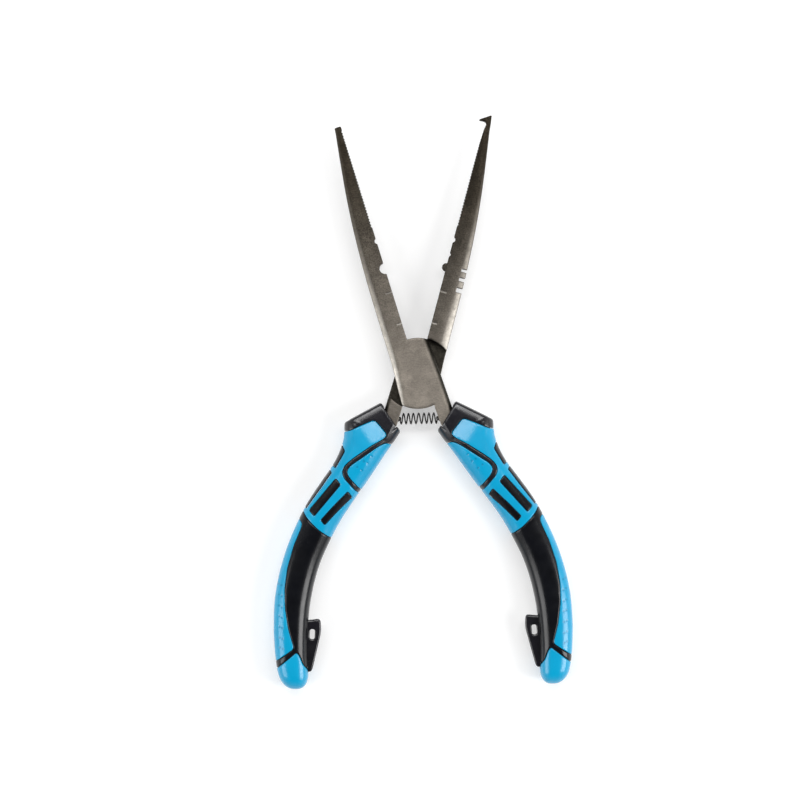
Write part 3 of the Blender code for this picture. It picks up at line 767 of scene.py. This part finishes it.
def dimpled(solid, body, g, spots):
    """Sinks a small flat-bottomed pit at each spot."""
    for x, y in spots:
        pit = DIMPLE_R - np.hypot(g.x - x, g.y - y)
        near = np.abs(pit) < 3
        rows, columns = np.where(near.any(1))[0], np.where(near.any(0))[0]
        part = (slice(rows[0], rows[-1] + 1), slice(columns[0], columns[-1] + 1))
        hole = np.minimum(pit[part][:, :, None], body[part] + DIMPLE_DEPTH)
        solid[part] = smooth_max(solid[part], hole, 0.1)
    return solid


def moulding(body, g, outline, holes=(), edge=0.4, seam=SEAM):
    """The body's outer layer inside an outline, less some holes, with soft edges."""
    plan = zone(g.x, g.y, outline) + seam
    for hole in holes:
        plan = smooth_max(plan, SEAM - zone(g.x, g.y, hole), 0.2)
    solid = smooth_max(body, plan[:, :, None], edge)
    return np.maximum(solid, -body - SKIN)


def with_lug_room(solid, g):
    """Cuts away what would touch the lug."""
    room = GAP / 2 - zone(g.x, g.y, LUG)[:, :, None]
    return smooth_max(solid, np.minimum(room, LUG_HALF + GAP / 2 - np.abs(g.z - MID)), 0.3)


def skin_piece(outline, holes=(), low=BELOW, high=ABOVE, step=0.25, spots=(), edge=0.4, facet=False):
    """A moulding sampled in the box of its outline, on both faces or on one only."""
    near = np.maximum(outline.min(0) - 0.6, (5.0, -132.5))
    far = np.minimum(outline.max(0) + 0.6, (64.0, -11.0))
    g = Grid((*near, low), (*far, high), step)
    body = grip_body(g)
    solid = moulding(body, g, outline, holes, edge)
    if low > BELOW:
        solid = np.maximum(solid, low - g.z)
    if high < ABOVE:
        solid = np.maximum(solid, g.z - high)
    if facet:
        solid = faceted(solid, g)
    return dimpled(solid, body, g, spots), g


def palm_panel():
    g = Grid((36.5, -124.2, BELOW), (64.0, -52.5, ABOVE), 0.3)
    solid = moulding(grip_body(g), g, PANEL, (SLEEVE, BACK_STRIP, END_CAP), seam=0)
    return with_lug_room(solid, g), g


def end_cap():
    g = Grid((46.0, -132.5, BELOW), (63.5, -114.5, ABOVE), 0.25)
    return with_lug_room(moulding(grip_body(g), g, END_CAP), g), g


def grip_core():
    """The hard body under the mouldings: collar, S-shaped band, lug and the tang's pocket."""
    g = Grid((5.0, -132.0, BELOW), (64.0, -11.0, ABOVE), 0.25)
    body = grip_body(g)
    height = np.abs(g.z - MID)
    plan = np.full(g.x.shape, 9.0)
    for bed in (SLEEVE, FINGER_PANEL, BACK_STRIP, END_CAP, PANEL):
        plan = np.minimum(plan, zone(g.x, g.y, bed))
    collar = np.clip(-left_of(g.x, g.y, *COLLAR_FOOT) + 1.0, 0, 1)
    sunk = BAND_SUNK + COLLAR_SUNK * collar
    shown = smooth_max(body + sunk[:, :, None], (BED_SEAM - plan)[:, :, None], 0.22)
    solid = np.minimum(shown, body + SKIN + GAP)
    lug = smooth_max(zone(g.x, g.y, LUG)[:, :, None], height - LUG_HALF, 0.9)
    lug = smooth_max(lug, -zone(g.x, g.y, LUG_SLOT)[:, :, None], 0.5)
    solid = smooth_min(solid, lug, 0.2)
    tang = [*TANG_OUTER, *TANG_INNER, (6.0, -12.0), (13.0, -10.0)]
    mouth = np.minimum(GAP - zone(g.x, g.y, tang)[:, :, None], MID + GAP - height)
    solid = smooth_max(solid, mouth, 0.7)
    pocket = np.minimum(GAP - zone(g.x, g.y, INSERT)[:, :, None], INSERT_HALF + GAP - height)
    return np.maximum(solid, pocket), g


# ---------------------------------------------------------------- turned and wound parts


def turned(name, profile, steps=64):
    """A round solid about Z from (radius, height) points that start and end on the axis."""
    ring = np.arange(steps) * 2 * pi / steps
    rows = [np.stack([r * np.cos(ring), r * np.sin(ring), np.full(steps, z)], 1) for r, z in profile[1:-1]]
    verts = np.concatenate([[(0, 0, profile[0][1])], *rows, [(0, 0, profile[-1][1])]])
    faces = []
    for row in range(len(rows) - 1):
        for k in range(steps):
            a, b = 1 + row * steps + k, 1 + row * steps + (k + 1) % steps
            faces.append((a, b, b + steps, a + steps))
    last = len(verts) - 1
    for a in range(steps):
        b = (a + 1) % steps
        faces += [(0, b + 1, a + 1), (last - steps + a, last - steps + b, last)]
    return creased_object(name, verts, faces, 40)


def rivet():
    profile = [(0, 0.05), (1.6, 0.05), (1.75, 0.2), (1.95, 0.2), (2.1, 0.03), (4.75, 0.0)]
    profile += [(RIVET_HEAD_R, 0.25), (RIVET_HEAD_R, RIVET_HEAD), (RIVET_R, RIVET_HEAD)]
    profile += [(RIVET_R, RIVET_TOP - 0.3), (RIVET_R - 0.3, RIVET_TOP), (0, RIVET_TOP)]
    return turned("blind_rivet", profile, 96)


def peg(side):
    end = PEG_TO - PEG_FROM
    profile = [(0, 0.9), (0.5, 0.95), (0.75, 1.2), (0.9, 1.7), (PEG_R, 2.3)]
    profile += [(PEG_R, end - 0.2), (PEG_R - 0.2, end), (0, end)]
    obj = turned("spring_pin_right" if side > 0 else "spring_pin_left", profile, 40)
    place = Matrix.Translation((side * PEG_FROM * MM, SPRING_Y * MM, MID * MM))
    obj.data.transform(place @ Matrix.Rotation(side * pi / 2, 4, "Y"))
    return obj


def wire_coil(turns=7.5, half=7.85, radius=2.2, wire=0.28, around=12, along=44):
    """The return spring: a wire wound about X, with its end turns a little closer together."""
    count = int(turns * along)
    s = np.linspace(0, 1, count + 1)
    turn = 2 * pi * turns * s + pi / 2
    tilt = 0.75 * turns
    close = 0.5 * (1 + np.tanh(tilt * (2 * s - 1)) / np.tanh(tilt))
    x = half * (2 * (0.97 * s + 0.03 * close) - 1)
    line = np.stack([x, SPRING_Y + radius * np.cos(turn), MID + radius * np.sin(turn)], 1)
    tangent = np.gradient(line, axis=0)
    tangent /= np.linalg.norm(tangent, axis=1)[:, None]
    outward = np.stack([np.zeros_like(turn), np.cos(turn), np.sin(turn)], 1)
    outward -= tangent * (outward * tangent).sum(1)[:, None]
    outward /= np.linalg.norm(outward, axis=1)[:, None]
    sideways = np.cross(tangent, outward)
    ring = np.arange(around) * 2 * pi / around
    spread = outward[:, None] * np.cos(ring)[:, None] + sideways[:, None] * np.sin(ring)[:, None]
    verts = (line[:, None] + wire * spread).reshape(-1, 3)
    last = count * around
    faces = []
    for row in range(count):
        for k in range(around):
            a, b = row * around + k, row * around + (k + 1) % around
            faces.append((a, b, b + around, a + around))
    faces += [tuple(range(around))[::-1], tuple(range(last, last + around))]
    return creased_object("wound_spring", verts, faces, 50)


# ---------------------------------------------------------------- the pliers


def build_pliers():
    steel, pin, wire = steel_material(), plain_steel_material(), wire_material()
    hard, soft, blue = hard_black_material(), soft_black_material(), blue_material()

    placed(lever(hooked=False), steel, FRONT, "jaw_steel", "front_lever")
    placed(lever(hooked=True), steel, REAR, "jaw_steel", "rear_lever")
    placed(rivet(), pin, FRONT, "jaw_steel", "pivot_rivet")
    placed(peg(1), pin, FRONT, "jaw_steel", "spring_peg_right")
    placed(peg(-1), pin, REAR, "jaw_steel", "spring_peg_left")
    coil = wire_coil()
    coil.data.materials.append(wire)
    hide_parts("return_spring")
    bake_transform(coil)

    inlays = [*RIBS.values(), *EDGE_INLAYS.values()]
    finger = skin_piece(FINGER_PANEL, spots=FINGER_DIMPLES, step=0.2)
    strip = skin_piece(BACK_STRIP, spots=STRIP_DIMPLES, step=0.2)
    pieces = [
        ("core", grip_core(), hard, "hard_black", "grip_core"),
        ("sleeve", skin_piece(SLEEVE, inlays, facet=True), blue, "blue_rubber", "grip_sleeve"),
        ("finger", finger, blue, "blue_rubber", "finger_panel"),
        ("strip", strip, blue, "blue_rubber", "back_strip"),
        ("cap", end_cap(), blue, "blue_rubber", "end_cap"),
        ("palm", palm_panel(), soft, "soft_black", "palm_panel"),
    ]
    for place, outline in RIBS.items():
        for face, low, high in (("front", MID, ABOVE), ("back", BELOW, MID)):
            rib = skin_piece(outline, low=low, high=high, step=0.2, edge=0.25)
            pieces.append((f"{face}_{place}_bar", rib, soft, "soft_black", f"{face}_{place}_rib"))
    for place, outline in EDGE_INLAYS.items():
        inlay = skin_piece(outline, step=0.2)
        pieces.append((f"{place}_edge_bar", inlay, soft, "soft_black", f"{place}_edge_inlay"))
    for name, (field, g), material, slot, node in pieces:
        verts, quads = surface(field, g)
        # The other pieces have no dimples, and (0, 0) is far from all of them
        spots = {"finger": FINGER_DIMPLES, "strip": STRIP_DIMPLES}.get(name, [(0, 0)])
        reach = np.min([np.hypot(verts[:, 0] - x, verts[:, 1] - y) for x, y in spots], axis=0)
        for side, label, body in ((1, "right", FRONT), (-1, "left", REAR)):
            faces = quads if side > 0 else quads[:, ::-1]
            obj = mesh_object(f"moulded_{name}_{label}", verts * (side, 1, 1), faces)
            # Painted shade: the pit mark darkens the dimples
            mark(obj, "pit", (DIMPLE_R + 0.2 - reach) / 0.3)
            placed(obj, material, body, slot, f"{node}_{label}")


build_pliers()


# ---------------------------------------------------------------- floor, lights and camera


def area_light(name, at, target, size, power):
    """A softbox `at` one point and facing another, with its place and size in metres."""
    light = bpy.data.lights.new(name, "AREA")
    light.shape = "RECTANGLE"
    light.size, light.size_y = size
    light.energy = power
    obj = bpy.data.objects.new(name, light)
    obj.location = at
    obj.rotation_euler = (Vector(target) - Vector(at)).to_track_quat("-Z", "Y").to_euler()
    bpy.context.scene.collection.objects.link(obj)


def studio():
    """A white floor, a world dark overhead and bright at the horizon, three softboxes and the camera."""
    corners = [(x * FLOOR_REACH, y * FLOOR_REACH, FLOOR_Z) for x, y in ((-1, -1), (1, -1), (1, 1), (-1, 1))]
    floor = mesh_object("floor", np.array(corners), np.array([(0, 1, 2, 3)]))
    floor.data.materials.append(floor_material())
    world = bpy.data.worlds.new("studio")
    world.use_nodes = True
    tree = world.node_tree
    up = tree.nodes.new("ShaderNodeSeparateXYZ")
    tree.links.new(tree.nodes.new("ShaderNodeTexCoord").outputs["Generated"], up.inputs[0])
    fade = tree.nodes.new("ShaderNodeMapRange")
    fade.interpolation_type = "SMOOTHSTEP"
    for key, value in (("From Min", 0.95), ("From Max", 0.1), ("To Min", 0.045), ("To Max", 0.8)):
        fade.inputs[key].default_value = value
    tree.links.new(up.outputs["Z"], fade.inputs["Value"])
    tree.links.new(fade.outputs["Result"], tree.nodes["Background"].inputs["Strength"])
    tree.nodes["Background"].inputs["Color"].default_value = (1, 1, 1, 1)
    scene = bpy.context.scene
    scene.world = world
    scene.view_settings.view_transform = "Standard"
    area_light("top_box", (0.0, 0.46, 1.15), (0, 0, 0), (1.1, 0.24), 8.0)
    area_light("right_box", (0.95, -0.25, 0.7), (0, -0.03, 0), (0.5, 0.8), 10)
    area_light("left_box", (-0.95, -0.25, 0.7), (0, -0.03, 0), (0.5, 0.8), 6)

    camera = bpy.data.cameras.new("camera")
    camera.lens = 150
    camera.sensor_width = 36
    camera.dof.use_dof = False
    camera.clip_end = 20
    view = bpy.data.objects.new("camera", camera)
    view.location = (-0.00769, -0.01099, 1.405)
    view.rotation_euler = (0, 0, -radians(1.22))
    scene.collection.objects.link(view)
    scene.camera = view


studio()
